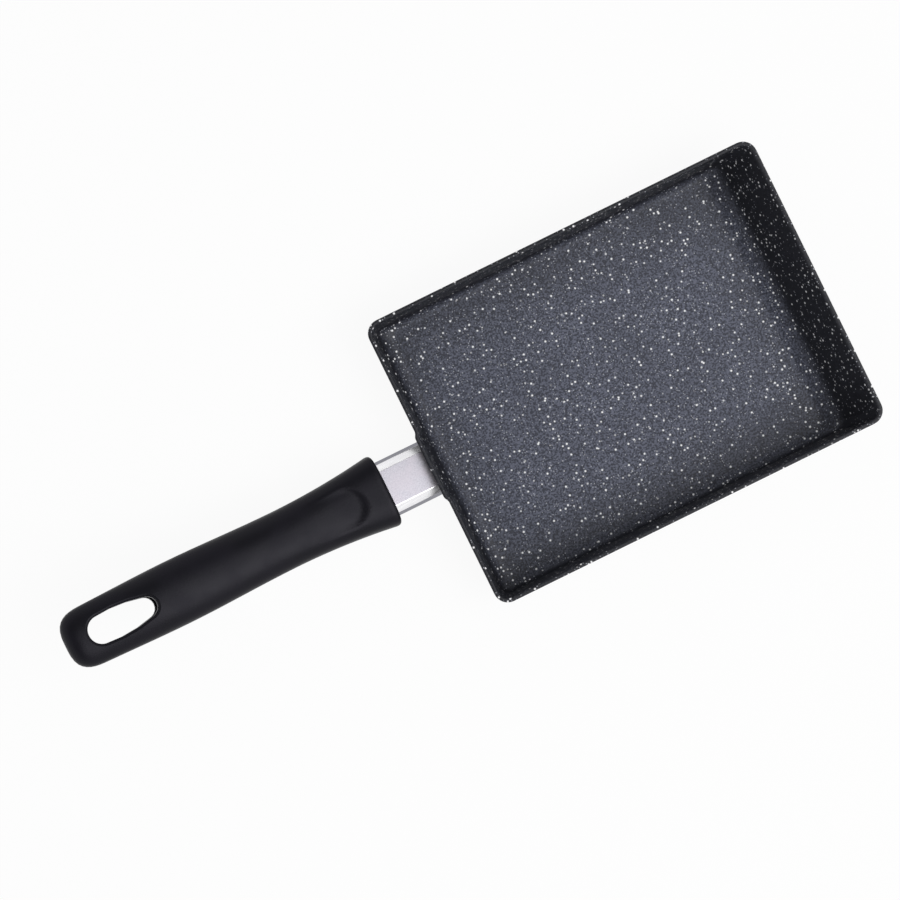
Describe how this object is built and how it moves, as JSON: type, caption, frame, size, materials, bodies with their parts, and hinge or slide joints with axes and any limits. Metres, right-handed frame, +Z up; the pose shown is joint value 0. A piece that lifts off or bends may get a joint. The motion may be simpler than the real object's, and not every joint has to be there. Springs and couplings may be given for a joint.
{
  "type": "tamagoyaki pan",
  "caption": "Rectangular omelette pan with one sloped wall, a metal neck sleeve and a long moulded handle with a hanging slot.",
  "frame": {"origin": "on the pan's flat base, under the middle of the rim", "axes": "+X from the handle to the sloped far wall, +Y to the left seen from the handle, +Z up"},
  "size_m": [0.3514, 0.132, 0.0581],
  "materials": {
    "coated_pan": "speckled dark grey non-stick coating",
    "coated_rivet": "dark non-stick coating",
    "satin_steel": "satin panel with polished edges",
    "plated_steel": "zinc plated",
    "moulded_handle": "black moulded bakelite, satin"
  },
  "bodies": {
    "root": {"pan_body": "coated_pan", "bracket": "plated_steel", "bracket_nut": "plated_steel", "rivet_left": "coated_rivet", "rivet_right": "coated_rivet", "flame_guard": "satin_steel", "handle": "moulded_handle", "handle_screw": "plated_steel", "flat_washer": "plated_steel", "spring_washer": "plated_steel"}
  },
  "joints": []
}
